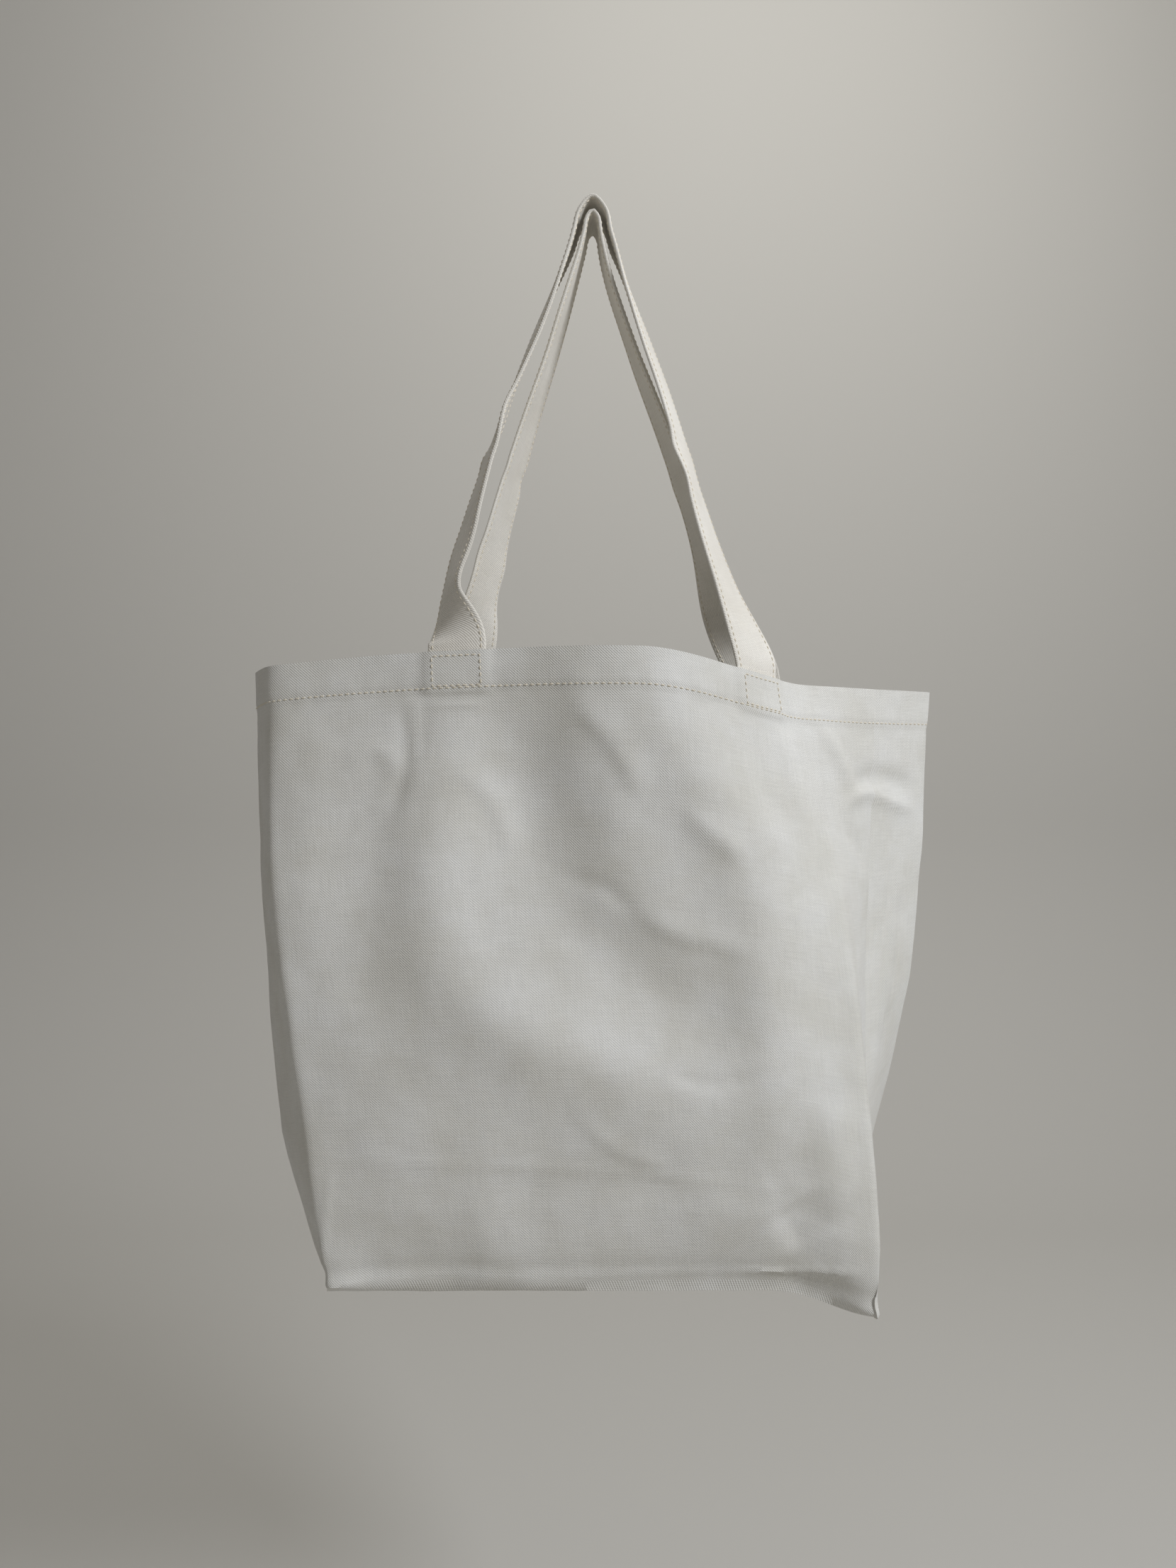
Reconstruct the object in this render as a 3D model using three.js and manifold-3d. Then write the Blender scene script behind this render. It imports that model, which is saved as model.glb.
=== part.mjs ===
// Canvas tote bag with two sewn handles, hanging from one point.
// Millimetres, +X to the wearer's right of the front panel, +Y to the back, +Z up.
// Origin: the hanging point, under the top of the inner handle's loop.
import * as THREE from 'three';
import { mergeVertices } from 'three/addons/utils/BufferGeometryUtils.js';
import Module from 'manifold-3d';

const wasm = await Module();
wasm.setup();

// Cloth and thread
const CANVAS = 1.1;            // modelled thickness of one canvas layer
const HEM_HEIGHT = 20;         // folded band round the mouth
const WALL_HEIGHT = 324;       // base edge to rim along the front
const PANEL_WIDTH = 400;       // seam to seam
const CURVED_GAP = 0.9;        // air kept between two pieces that follow one curve
const SEAM_GAP = 0.8;          // between the two panels along a seam
const THREAD = 0.6;            // thread height above the cloth
const THREAD_WIDTH = 0.9;
const THREAD_LIFT = 0.6;
const HEM_STITCH_INSET = 1.5;  // the hem's row of stitches sits this far above its lower edge
const MITRE_LIMIT = 4;         // thread stands this much further off at a sharp fold, at most
const SEAM_ALLOWANCE = 8;      // overlocked edge turned to the inside
const SEAM_THICKNESS = 2.4;
const SIDE_SEAM_BOTTOM = 14;   // a side seam's inner edge starts this far above the base

// Body
const SIDE_SHARE = 0.13;       // half of the bag's depth, as a share of a panel's width
const RIM_Z = -241;            // rim at the middle of the front
const BASE_Z = -567;           // front edge of the base
const BASE_SAG = 16;           // base cloth below its front edge
const BASE_MIDDLE_Y = -3;
const BASE_HALF_DEPTH = 52;
const RIGHT_DROP = 14;         // right end of the base hangs lower
const RIGHT_DROP_FROM = 95;
const RIGHT_DROP_TO = 153;
const RIM_DROP_LEFT = 9;
const RIM_LEFT_REACH = 180;
const RIM_DROP_RIGHT = 15;
const RIM_RIGHT_FROM = 20;
const RIM_RIGHT_TO = 115;
const SIDE_SEGMENTS = 4;
const FACE_SEGMENTS = 28;
const WALL_ROWS = 12;
const TANGENT_STEP = 0.004;    // share of width or height over which the cloth's direction is taken
const BASE_END_MARGIN = 0.003; // the base cloth stops this share short of each side seam
const BASE_SEAM_END = 0.06;    // share of the base left free at each end of its seam
const CORNER_SEAM_END = 0.1;

// Handles
const STRAP_WIDTH = 30;
const STRAP_THICKNESS = 2.6;
const STRAP_SEWN_LENGTH = 22;  // strap held inside the hem
const LEG_STEPS = 32;
const TOP_STEPS = 30;
const STRAP_SAMPLES = 600;
const TOP_PART_Z = -45;        // height where a leg meets the bend over the top
const STRAP_PART_GAP = 0.3;    // between a leg and that bend
const HINGE_RISE = 6;          // the free loop starts this far above the rim
const BOX_STITCH_INSET = 4;
const BOX_STITCH_HEIGHT = 11;

// Where the strap middles sit along each panel's rim, as shares of its width from seam to seam
const STRAP_PLACES = { front: [0.374, 0.772], back: [0.726, 0.358] };

// Horizontal sections of the hanging body, from the base edge up to the rim.
// Each gives the corners and the points between them, x then y.
const SECTIONS = [
  {
    leftSeam: [-146, -8], frontLeft: [-138, -57], frontRight: [153, -43],
    front: [[-80, -54], [-22, -51], [36, -49], [95, -46]],
    rightSeam: [151, 4], backRight: [149, 50], backLeft: [-146, 43],
    back: [[50, 50], [-50, 48]],
  },
  {
    leftSeam: [-171, -12], frontLeft: [-148, -57], frontRight: [147, -39],
    front: [[-92, -60], [-34, -58], [26, -55], [88, -49]],
    rightSeam: [152, 4], backRight: [171, 45], backLeft: [-140, 24],
    back: [[60, 48], [-45, 44]],
  },
  {
    leftSeam: [-179, -10], frontLeft: [-160, -56], frontRight: [140, -32],
    front: [[-102, -59], [-44, -58], [18, -56], [80, -48]],
    rightSeam: [153, 6], backRight: [187, 38], backLeft: [-128, 8],
    back: [[75, 41], [-30, 34]],
  },
  {
    leftSeam: [-184, -10], frontLeft: [-168, -50], frontRight: [128, -20],
    front: [[-111, -54], [-48, -57], [20, -62], [82, -48]],
    rightSeam: [157, 12], backRight: [194, 37], backLeft: [-133, 3],
    back: [[80, 38], [-25, 26]],
  },
  {
    leftSeam: [-186, -12], frontLeft: [-170, -45], frontRight: [115, -10],
    front: [[-118, -51], [-55, -60], [15, -70], [76, -47]],
    rightSeam: [162, 18], backRight: [199, 39], backLeft: [-136, 0],
    back: [[96, 41], [-15, 21]],
  },
];

// Middle lines of the two handles above the rim, from the left leg over the top to the right leg:
// x, y, z and the turn of the strap out of edge-on, in degrees.
const FRONT_HANDLE_PATH = [
  [-75, -50, -214, 25], [-66, -41, -175, 19], [-57.5, -33, -143, 15], [-49, -27, -116, 10],
  [-41.5, -21, -93, 12], [-32, -15, -66, 13], [-22, -9, -39, 10], [-14.6, -5, -19, 5], [-11.2, -3.5, -9, 2],
  [-7.6, -3, 2.2, 0], [-0.5, -3, 9.4, 0], [6.6, -3, 2.2, 0], [9.8, -3.5, -9, 2], [13.2, -5, -19, 5],
  [19.4, -8, -39, 10], [30.5, -14, -72, 14], [40, -20, -101, 17], [50.5, -26, -138, 20],
  [62, -31, -180, 22], [71, -35, -208, 27],
];
const BACK_HANDLE_PATH = [
  [-64, 1, -213, -36], [-55, 4, -175, -19], [-45.5, 6, -138, -14], [-35.4, 5, -104, -11], [-22.6, 2.5, -66, -6],
  [-12, -1.5, -34, -2], [-7.2, -3, -18, 0], [-5, -3, -9, 0], [-3.6, -3, -2.2, 0], [-0.5, -3, 1.4, 0],
  [2.6, -3, -2.2, 0], [3.7, -3, -9, 0], [5.3, -3, -18, 0], [9.6, -2, -34, 0], [22.6, 2.5, -68, -2],
  [41.5, 8, -115, -5], [60, 12, -170, -14], [73, 17, -208, -40],
];

const matt = (color, roughness) => new THREE.MeshStandardMaterial({ color, roughness, metalness: 0 });
const canvasMaterial = () => matt(0xd9d4c8, 0.9);
const strapMaterial = () => matt(0xe2ddd1, 0.85);
const threadMaterial = () => matt(0xe9e4d6, 0.7);

const lerp = THREE.MathUtils.lerp;
const smoothstep = THREE.MathUtils.smoothstep;
const flat = ([x, y]) => new THREE.Vector3(x, y, 0);

// One curve through the same named corner or middle point at every height.
function rising(pick) {
  return new THREE.CatmullRomCurve3(SECTIONS.map((section) => flat(pick(section))));
}
const corners = {
  leftSeam: rising((s) => s.leftSeam),
  frontLeft: rising((s) => s.frontLeft),
  frontRight: rising((s) => s.frontRight),
  rightSeam: rising((s) => s.rightSeam),
  backRight: rising((s) => s.backRight),
  backLeft: rising((s) => s.backLeft),
};
const frontMiddles = [0, 1, 2, 3].map((i) => rising((s) => s.front[i]));
const backMiddles = [0, 1].map((i) => rising((s) => s.back[i]));

// The face curves of one panel at a height from 0 at the base edge to 1 at the rim, seam to seam.
const curveCache = new Map();
function panelCurves(side, height) {
  const key = `${side} ${height}`;
  if (!curveCache.has(key)) {
    const at = (curve) => curve.getPoint(height);
    const isFront = side === 'front';
    const first = at(isFront ? corners.leftSeam : corners.rightSeam);
    const foldA = at(isFront ? corners.frontLeft : corners.backRight);
    const foldB = at(isFront ? corners.frontRight : corners.backLeft);
    const last = at(isFront ? corners.rightSeam : corners.leftSeam);
    const middles = (isFront ? frontMiddles : backMiddles).map(at);
    curveCache.set(key, [
      new THREE.LineCurve3(first, foldA),
      new THREE.CatmullRomCurve3([foldA, ...middles, foldB], false, 'centripetal'),
      new THREE.LineCurve3(foldB, last),
    ]);
  }
  return curveCache.get(key);
}

// Height of the base cloth and of the rim over a point of the plan.
function baseZ(x, y) {
  const across = THREE.MathUtils.clamp((y - BASE_MIDDLE_Y) / BASE_HALF_DEPTH, -1, 1);
  const drop = RIGHT_DROP * smoothstep(x, RIGHT_DROP_FROM, RIGHT_DROP_TO);
  return BASE_Z - BASE_SAG * (1 - across * across) - drop;
}
function rimZ(x) {
  const left = Math.min(x, 0) / RIM_LEFT_REACH;
  return RIM_Z - RIM_DROP_LEFT * left * left - RIM_DROP_RIGHT * smoothstep(x, RIM_RIGHT_FROM, RIM_RIGHT_TO);
}

// Outer surface of a panel: share runs 0 to 1 from seam to seam, height 0 to 1 from base to rim.
// Past a seam it goes on over the other panel.
function wallPoint(side, share, height) {
  const other = side === 'front' ? 'back' : 'front';
  if (share < 0) return wallPoint(other, 1 + share, height);
  if (share > 1) return wallPoint(other, share - 1, height);
  const [sideA, face, sideB] = panelCurves(side, height);
  let point;
  if (share < SIDE_SHARE) point = sideA.getPoint(share / SIDE_SHARE);
  else if (share > 1 - SIDE_SHARE) point = sideB.getPoint((share - 1 + SIDE_SHARE) / SIDE_SHARE);
  else point = face.getPointAt((share - SIDE_SHARE) / (1 - 2 * SIDE_SHARE));
  point = point.clone();
  point.z = lerp(baseZ(point.x, point.y), rimZ(point.x), height);
  return point;
}

// The same surface moved inwards by a depth in millimetres. Both panels share one direction at a seam.
function clothPoint(side, share, height, depth) {
  const step = TANGENT_STEP;
  const low = Math.max(height - step, 0);
  const high = Math.min(height + step, 1);
  const nearSeam = Math.min(share, 1 - share) < shareOf(SEAM_GAP);
  const middle = nearSeam ? Math.round(share) : share;
  const centre = wallPoint(side, middle, height);
  const ahead = wallPoint(side, middle + step, height).sub(centre).normalize();
  const behind = centre.clone().sub(wallPoint(side, middle - step, height)).normalize();
  const along = ahead.clone().add(behind);
  const up = wallPoint(side, share, high).sub(wallPoint(side, share, low));
  const inward = up.clone().cross(along).normalize();
  const start = wallPoint(side, share, height);
  if (depth > 0) return start.addScaledVector(inward, depth);
  const mitre = Math.max(inward.dot(up.cross(ahead).normalize()), 1 / MITRE_LIMIT);
  return start.addScaledVector(inward, depth / mitre);
}
const shareOf = (millimetres) => millimetres / PANEL_WIDTH;
const rise = (millimetres) => millimetres / WALL_HEIGHT;

function geometryOf(points, triangles) {
  const geometry = new THREE.BufferGeometry();
  const numbers = points.flatMap((p) => [p.x, p.y, p.z]);
  geometry.setAttribute('position', new THREE.Float32BufferAttribute(numbers, 3));
  geometry.setIndex(triangles);
  return signedVolume(points, triangles) < 0 ? turnedOver(geometry) : geometry;
}
function signedVolume(points, triangles) {
  let sum = 0;
  for (let i = 0; i < triangles.length; i += 3) {
    const [a, b, c] = [points[triangles[i]], points[triangles[i + 1]], points[triangles[i + 2]]];
    sum += a.dot(b.clone().cross(c));
  }
  return sum;
}
function turnedOver(geometry) {
  const index = geometry.getIndex();
  for (let i = 0; i < index.count; i += 3) {
    const kept = index.getX(i);
    index.setX(i, index.getX(i + 1));
    index.setX(i + 1, kept);
  }
  return geometry;
}

// Closed solid swept through equal rings of points, with flat ends or closed on itself.
function sweep(rings, loops = false) {
  const size = rings[0].length;
  const triangles = [];
  const quad = (a, b, c, d) => triangles.push(a, b, c, a, c, d);
  const last = loops ? rings.length : rings.length - 1;
  for (let i = 0; i < last; i++) {
    const here = i * size;
    const next = ((i + 1) % rings.length) * size;
    for (let j = 0; j < size; j++) {
      const k = (j + 1) % size;
      quad(here + j, here + k, next + k, next + j);
    }
  }
  if (!loops) {
    const end = (rings.length - 1) * size;
    const half = size / 2;
    for (let j = 0; j < half - 1; j++) {
      const k = size - 1 - j;
      quad(j, k, k - 1, j + 1);
      quad(end + j, end + j + 1, end + k - 1, end + k);
    }
  }
  return geometryOf(rings.flat(), triangles);
}

// A slab of cloth: every column is a ring of outer points down and inner points back up.
function slab(columns, outer, inner) {
  return sweep(columns.map((share) => [...outer(share), ...inner(share).reverse()]));
}

function panelShares() {
  const shares = [];
  const add = (from, to, count) => {
    for (let i = 0; i < count; i++) shares.push(lerp(from, to, i / count));
  };
  add(shareOf(SEAM_GAP / 2), SIDE_SHARE, SIDE_SEGMENTS);
  add(SIDE_SHARE, 1 - SIDE_SHARE, FACE_SEGMENTS);
  add(1 - SIDE_SHARE, 1 - shareOf(SEAM_GAP / 2), SIDE_SEGMENTS);
  shares.push(1 - shareOf(SEAM_GAP / 2));
  return shares;
}

// Wall rows with the hem's step, as [height, inner depth].
function wallRows() {
  const hemLine = 1 - rise(HEM_HEIGHT);
  const rows = [];
  for (let i = 0; i < WALL_ROWS; i++) rows.push([(hemLine * i) / WALL_ROWS, CANVAS]);
  rows.push([hemLine - rise(1), CANVAS], [hemLine, 2 * CANVAS], [1, 2 * CANVAS]);
  return rows;
}

function toSolid(geometry) {
  const merged = mergeVertices(geometry, 1e-4);
  const mesh = new wasm.Mesh({
    numProp: 3,
    vertProperties: merged.getAttribute('position').array,
    triVerts: Uint32Array.from(merged.getIndex().array),
  });
  return new wasm.Manifold(mesh);
}
function fromSolid(solid) {
  const mesh = solid.getMesh();
  const geometry = new THREE.BufferGeometry();
  geometry.setAttribute('position', new THREE.Float32BufferAttribute(mesh.vertProperties, 3));
  geometry.setIndex(Array.from(mesh.triVerts));
  return geometry;
}

// Half of the base, from under a panel's lower edge to the seam along the middle.
function baseHalf(side) {
  const edgeDepth = CANVAS / 2;
  const rows = [0, 0.2, 0.4, 0.6, 0.8, 1];
  const columns = Array.from({ length: FACE_SEGMENTS + 1 }, (_, i) => i / FACE_SEGMENTS);
  const seamEnds = [wallPoint(side, 0, 0), wallPoint(side, 1, 0)];
  const plan = (along, across) => {
    const outer = clothPoint(side, lerp(SIDE_SHARE, 1 - SIDE_SHARE, along), 0, edgeDepth);
    const seamShare = lerp(BASE_END_MARGIN, 1 - BASE_END_MARGIN, along);
    const middle = seamEnds[0].clone().lerp(seamEnds[1], seamShare);
    middle.y += side === 'front' ? -SEAM_GAP / 2 : SEAM_GAP / 2;
    return outer.lerp(middle, across);
  };
  const at = (along, across, lift) => {
    const point = plan(along, across);
    point.z = baseZ(point.x, point.y) + lift;
    return point;
  };
  return slab(
    columns,
    (along) => rows.map((across) => at(along, across, 0)),
    (along) => rows.map((across) => at(along, across, CANVAS)),
  );
}

// Front or back panel: wall, folded hem and half of the base, cut and folded from one cloth.
function panel(side) {
  const rows = wallRows();
  const wall = slab(
    panelShares(),
    (share) => rows.map(([height]) => clothPoint(side, share, height, 0)),
    (share) => rows.map(([height, depth]) => clothPoint(side, share, height, depth)),
  );
  return fromSolid(toSolid(wall).add(toSolid(baseHalf(side))));
}

// Thread laid on the outer face along a line of [side, share, height]; it closes on itself.
function threadLoop(line) {
  const half = rise(THREAD_WIDTH / 2);
  const rings = line.map(([side, share, height, shareStep = 0, heightStep = half]) => [
    clothPoint(side, share - shareStep, height - heightStep, -THREAD_LIFT),
    clothPoint(side, share + shareStep, height + heightStep, -THREAD_LIFT),
    clothPoint(side, share + shareStep, height + heightStep, -THREAD_LIFT - THREAD),
    clothPoint(side, share - shareStep, height - heightStep, -THREAD_LIFT - THREAD),
  ]);
  return sweep(rings, true);
}

// The row of stitches that holds the hem, once round the mouth.
function hemThread() {
  const height = 1 - rise(HEM_HEIGHT - HEM_STITCH_INSET);
  const line = [];
  for (const side of ['front', 'back']) {
    const shares = panelShares();
    for (const share of shares) line.push([side, share, height]);
  }
  return threadLoop(line);
}

// The rectangle of stitches that holds one end of a strap.
function boxStitch(side, place) {
  const halfShare = shareOf(STRAP_WIDTH / 2 - BOX_STITCH_INSET);
  const top = 1 - rise(BOX_STITCH_INSET);
  const bottom = top - rise(BOX_STITCH_HEIGHT);
  const across = shareOf(THREAD_WIDTH / 2);
  const up = rise(THREAD_WIDTH / 2);
  const at = (x, z) => [side, place + x * halfShare, lerp(bottom, top, (z + 1) / 2), x * across, z * up];
  const line = [];
  const corners = [[-1, -1], [-1, 1], [1, 1], [1, -1]];
  corners.forEach(([x, z], i) => {
    const [nextX, nextZ] = corners[(i + 1) % corners.length];
    line.push(at(x, z));
    for (const part of [0.25, 0.5, 0.75]) line.push(at(lerp(x, nextX, part), lerp(z, nextZ, part)));
  });
  return threadLoop(line);
}

// The end of a strap, flat inside the hem.
function strapEnd(side, place) {
  const half = shareOf(STRAP_WIDTH / 2);
  const columns = [-1, -0.5, 0, 0.5, 1].map((x) => place + x * half);
  const heights = [1 - rise(STRAP_SEWN_LENGTH), 1 - rise(HEM_HEIGHT), 1 - rise(HEM_HEIGHT / 2), 1];
  const near = 2 * CANVAS + CURVED_GAP;
  return slab(
    columns,
    (share) => heights.map((height) => clothPoint(side, share, height, near)),
    (share) => heights.map((height) => clothPoint(side, share, height, near + STRAP_THICKNESS)),
  );
}

// A rim point in the middle of a strap's thickness, and the rim's direction there as a turn.
function strapRoot(side, place) {
  const depth = 2 * CANVAS + CURVED_GAP + STRAP_THICKNESS / 2;
  const root = clothPoint(side, place, 1, depth);
  const half = shareOf(STRAP_WIDTH / 2);
  const along = clothPoint(side, place + half, 1, depth).sub(clothPoint(side, place - half, 1, depth));
  const turn = THREE.MathUtils.radToDeg(Math.atan2(Math.abs(along.x), Math.abs(along.y)));
  root.z += HINGE_RISE;
  return [root.x, root.y, root.z, side === 'front' ? turn : -turn];
}

// The free loop of one handle: a flat strap that turns from the rim's direction to edge-on.
// It is made as two legs and the bend over the top, which meet end to end.
function handleParts(side, path) {
  const [left, right] = STRAP_PLACES[side].map((place) => strapRoot(side, place));
  const stops = [left, ...path, right];
  const middle = new THREE.CatmullRomCurve3(stops.map(([x, y, z]) => new THREE.Vector3(x, y, z)));
  const turnStops = stops.map((stop, i) => new THREE.Vector3(stop[3], i, 0));
  const turns = new THREE.CatmullRomCurve3(turnStops, false, 'catmullrom', 0);
  const ringAt = (share) => {
    const t = middle.getUtoTmapping(share);
    const centre = middle.getPoint(t);
    const vertical = new THREE.Vector3(0, 0, share === 0 ? 1 : -1);
    const along = share === 0 || share === 1 ? vertical : middle.getTangent(t);
    const edge = new THREE.Vector3(0, -1, 0).projectOnPlane(along).normalize();
    const outward = edge.clone().cross(along).normalize();
    const turn = THREE.MathUtils.degToRad(turns.getPoint(t).x);
    const width = edge.multiplyScalar(Math.cos(turn)).addScaledVector(outward, -Math.sin(turn));
    const face = width.clone().cross(along).normalize();
    const at = (w, n) => centre.clone()
      .addScaledVector(width, (w * STRAP_WIDTH) / 2)
      .addScaledVector(face, (n * STRAP_THICKNESS) / 2);
    return [at(-1, -1), at(-1, 1), at(1, 1), at(1, -1)];
  };
  const part = (from, to, steps) => sweep(
    Array.from({ length: steps + 1 }, (_, i) => ringAt(i === steps ? to : lerp(from, to, i / steps))),
  );
  const samples = Array.from({ length: STRAP_SAMPLES + 1 }, (_, i) => i / STRAP_SAMPLES);
  const high = samples.filter((share) => middle.getPointAt(share).z > TOP_PART_Z);
  const start = high[0];
  const end = high[high.length - 1];
  const gap = STRAP_PART_GAP / 2 / middle.getLength();
  return {
    left_leg: part(0, start - gap, LEG_STEPS),
    top: part(start + gap, end - gap, TOP_STEPS),
    right_leg: part(end + gap, 1, LEG_STEPS),
  };
}

// The joined cloth edges of a side seam, overlocked and turned to the inside.
function sideSeam(share) {
  const half = shareOf(SEAM_THICKNESS / 2);
  const bottom = rise(SIDE_SEAM_BOTTOM);
  const top = 1 - rise(HEM_HEIGHT + 2);
  const heights = Array.from({ length: 9 }, (_, i) => lerp(bottom, top, i / 8));
  const rings = heights.map((height) => {
    const inner = CANVAS + 2 * CURVED_GAP;
    const front = clothPoint('front', share, height, inner);
    const depth = clothPoint('front', share, height, inner + SEAM_ALLOWANCE).sub(front);
    const across = clothPoint('front', share === 0 ? half : 1 - half, height, inner).sub(front);
    return [front.clone().sub(across), front.clone().add(across),
      front.clone().add(across).add(depth), front.clone().sub(across).add(depth)];
  });
  return sweep(rings);
}

// The joined edges along the middle of the base.
function baseSeam() {
  const left = wallPoint('front', 0, 0);
  const right = wallPoint('front', 1, 0);
  const rings = Array.from({ length: 11 }, (_, i) => {
    const point = left.clone().lerp(right, lerp(BASE_SEAM_END, 1 - BASE_SEAM_END, i / 10));
    const low = baseZ(point.x, point.y) + CANVAS + 2 * CURVED_GAP;
    const at = (y, z) => new THREE.Vector3(point.x, point.y + y, z);
    const half = SEAM_THICKNESS / 2;
    return [at(-half, low), at(half, low), at(half, low + SEAM_ALLOWANCE), at(-half, low + SEAM_ALLOWANCE)];
  });
  return sweep(rings);
}

// The short seam that squares a corner of the base: it runs from front to back along the side's lower edge.
function cornerSeam(isLeft) {
  const inwardX = isLeft ? 1 : -1;
  const front = wallPoint('front', isLeft ? SIDE_SHARE : 1 - SIDE_SHARE, 0);
  const middle = wallPoint('front', isLeft ? 0 : 1, 0);
  const back = wallPoint('back', isLeft ? 1 - SIDE_SHARE : SIDE_SHARE, 0);
  const route = new THREE.CurvePath();
  route.add(new THREE.LineCurve3(front, middle));
  route.add(new THREE.LineCurve3(middle, back));
  const rings = Array.from({ length: 9 }, (_, i) => {
    const point = route.getPointAt(lerp(CORNER_SEAM_END, 1 - CORNER_SEAM_END, i / 8));
    const offset = CANVAS + SEAM_THICKNESS;
    const x = point.x + inwardX * offset;
    const z = baseZ(point.x, point.y) + offset;
    const slope = SEAM_ALLOWANCE * Math.SQRT1_2;
    const half = (SEAM_THICKNESS / 2) * Math.SQRT1_2;
    const at = (dx, dz) => new THREE.Vector3(x + inwardX * dx, point.y, z + dz);
    return [at(-half, half), at(half, -half), at(slope + half, slope - half), at(slope - half, slope + half)];
  });
  return sweep(rings);
}

const bag = new THREE.Group();
function addPiece(name, geometry, material) {
  const mesh = new THREE.Mesh(geometry, material);
  mesh.name = name;
  bag.add(mesh);
}

addPiece('front_panel', panel('front'), canvasMaterial());
addPiece('back_panel', panel('back'), canvasMaterial());
addPiece('left_side_seam', sideSeam(0), threadMaterial());
addPiece('right_side_seam', sideSeam(1), threadMaterial());
addPiece('base_seam', baseSeam(), threadMaterial());
addPiece('left_corner_seam', cornerSeam(true), threadMaterial());
addPiece('right_corner_seam', cornerSeam(false), threadMaterial());
addPiece('hem_stitching', hemThread(), threadMaterial());
const handlePaths = { front: FRONT_HANDLE_PATH, back: BACK_HANDLE_PATH };
for (const side of ['front', 'back']) {
  for (const [part, geometry] of Object.entries(handleParts(side, handlePaths[side]))) {
    addPiece(`${side}_handle_${part}`, geometry, strapMaterial());
  }
  ['left', 'right'].forEach((hand, i) => {
    const place = STRAP_PLACES[side][i];
    addPiece(`${side}_handle_${hand}_end`, strapEnd(side, place), strapMaterial());
    addPiece(`${side}_handle_${hand}_stitching`, boxStitch(side, place), threadMaterial());
  });
}

export default bag;
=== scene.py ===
import math

import bpy
import numpy as np
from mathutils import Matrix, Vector, noise


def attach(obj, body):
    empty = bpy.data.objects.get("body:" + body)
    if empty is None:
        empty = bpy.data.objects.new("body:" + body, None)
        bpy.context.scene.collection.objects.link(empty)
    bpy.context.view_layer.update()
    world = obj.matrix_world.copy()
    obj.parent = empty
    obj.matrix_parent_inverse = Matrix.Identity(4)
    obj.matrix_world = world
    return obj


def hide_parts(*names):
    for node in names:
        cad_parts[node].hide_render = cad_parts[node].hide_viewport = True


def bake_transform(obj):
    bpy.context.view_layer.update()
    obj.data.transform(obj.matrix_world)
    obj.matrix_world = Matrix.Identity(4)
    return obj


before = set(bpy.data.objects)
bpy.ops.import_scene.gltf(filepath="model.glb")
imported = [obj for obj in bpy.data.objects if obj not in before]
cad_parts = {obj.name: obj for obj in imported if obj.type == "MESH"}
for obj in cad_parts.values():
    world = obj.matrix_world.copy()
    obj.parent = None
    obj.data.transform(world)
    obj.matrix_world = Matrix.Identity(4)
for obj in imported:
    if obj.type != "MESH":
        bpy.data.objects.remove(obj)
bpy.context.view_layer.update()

MM = 0.001

# ---------------------------------------------------------------- Camera
# A level view straight at the wall, a little below the middle of the bag,
# from 0.65 m in front of the hanging point.
FOCAL_IN_IMAGE_WIDTHS = 1.0006
IMAGE_RATIO = 2212 / 1659
SENSOR_MM = 36.0
EYE = Vector((-3, -655, -310)) * MM

camera = bpy.data.objects.new("camera", bpy.data.cameras.new("camera"))
bpy.context.collection.objects.link(camera)
camera.location = EYE
camera.rotation_euler = (math.radians(90), 0, 0)
camera.data.sensor_width = SENSOR_MM
camera.data.lens = SENSOR_MM * FOCAL_IN_IMAGE_WIDTHS / IMAGE_RATIO
camera.data.clip_start = 0.02
bpy.context.scene.camera = camera

# ---------------------------------------------------------------- Studio
# A plain pale sweep of matt paper, well behind and below the bag, with a cool soft light
# from the upper right, a wash of light on the paper and a warm dim room.
WALL_HEX = "#cbc9c4"
WALL_Y = 1.7
FLOOR_Z = -0.98
SWEEP_RADIUS = 0.6
SWEEP_HALF_WIDTH = 4.0
SWEEP_FRONT_Y = -3.2
SWEEP_TOP_Z = 3.0
SWEEP_STEPS = 16


def linear(hex_colour):
    """sRGB hex to linear RGBA."""
    values = [int(hex_colour[i:i + 2], 16) / 255 for i in (1, 3, 5)]
    return [v / 12.92 if v <= 0.04045 else ((v + 0.055) / 1.055) ** 2.4 for v in values] + [1.0]


def node(tree, kind, links=None, **settings):
    """Adds a node, sets its properties and values, and links its named inputs."""
    made = tree.nodes.new(kind)
    for name, value in settings.items():
        if hasattr(made, name):
            setattr(made, name, value)
        else:
            made.inputs[name.replace("_", " ")].default_value = value
    for name, value in (links or {}).items():
        socket = made.inputs[name]
        if isinstance(value, bpy.types.NodeSocket):
            tree.links.new(value, socket)
        else:
            socket.default_value = value
    return made


def mesh_object(name, points, faces):
    mesh = bpy.data.meshes.new(name)
    mesh.from_pydata([tuple(p) for p in points], [], [tuple(f) for f in faces])
    mesh.update()
    mesh.polygons.foreach_set("use_smooth", [True] * len(mesh.polygons))
    made = bpy.data.objects.new(name, mesh)
    bpy.context.collection.objects.link(made)
    return made


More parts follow.
